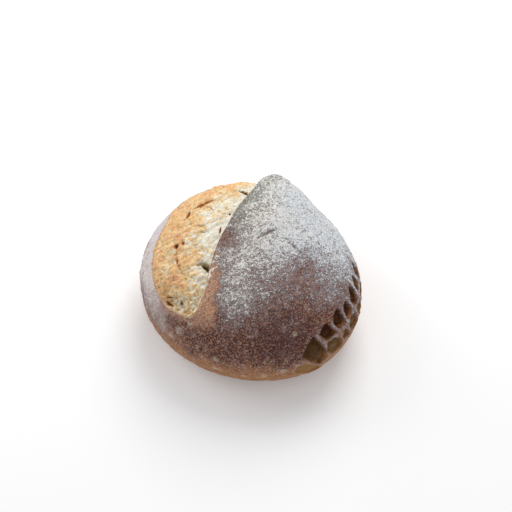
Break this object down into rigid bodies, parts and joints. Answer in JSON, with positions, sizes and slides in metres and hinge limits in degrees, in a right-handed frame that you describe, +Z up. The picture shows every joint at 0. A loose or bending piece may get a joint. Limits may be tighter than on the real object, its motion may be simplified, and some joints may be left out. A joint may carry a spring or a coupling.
{
  "type": "sourdough loaf",
  "caption": "Round hearth-baked sourdough loaf with one long slash, a raised floured ear over open crumb, and a wheat stalk scored in its side.",
  "frame": {"origin": "on the flat foot that the loaf rests on, in the middle of the loaf's box seen from above", "axes": "+Z up from the foot; -Y is the front, where the slash starts low; the slash runs back and to the right, 26 degrees from +Y towards +X; the wheat scoring faces +X and -Y"},
  "size_m": [0.2184, 0.2214, 0.1113],
  "materials": {
    "crust": "matte, floured, dry baked crust"
  },
  "bodies": {
    "root": {"sourdough_loaf": "crust"}
  },
  "joints": []
}
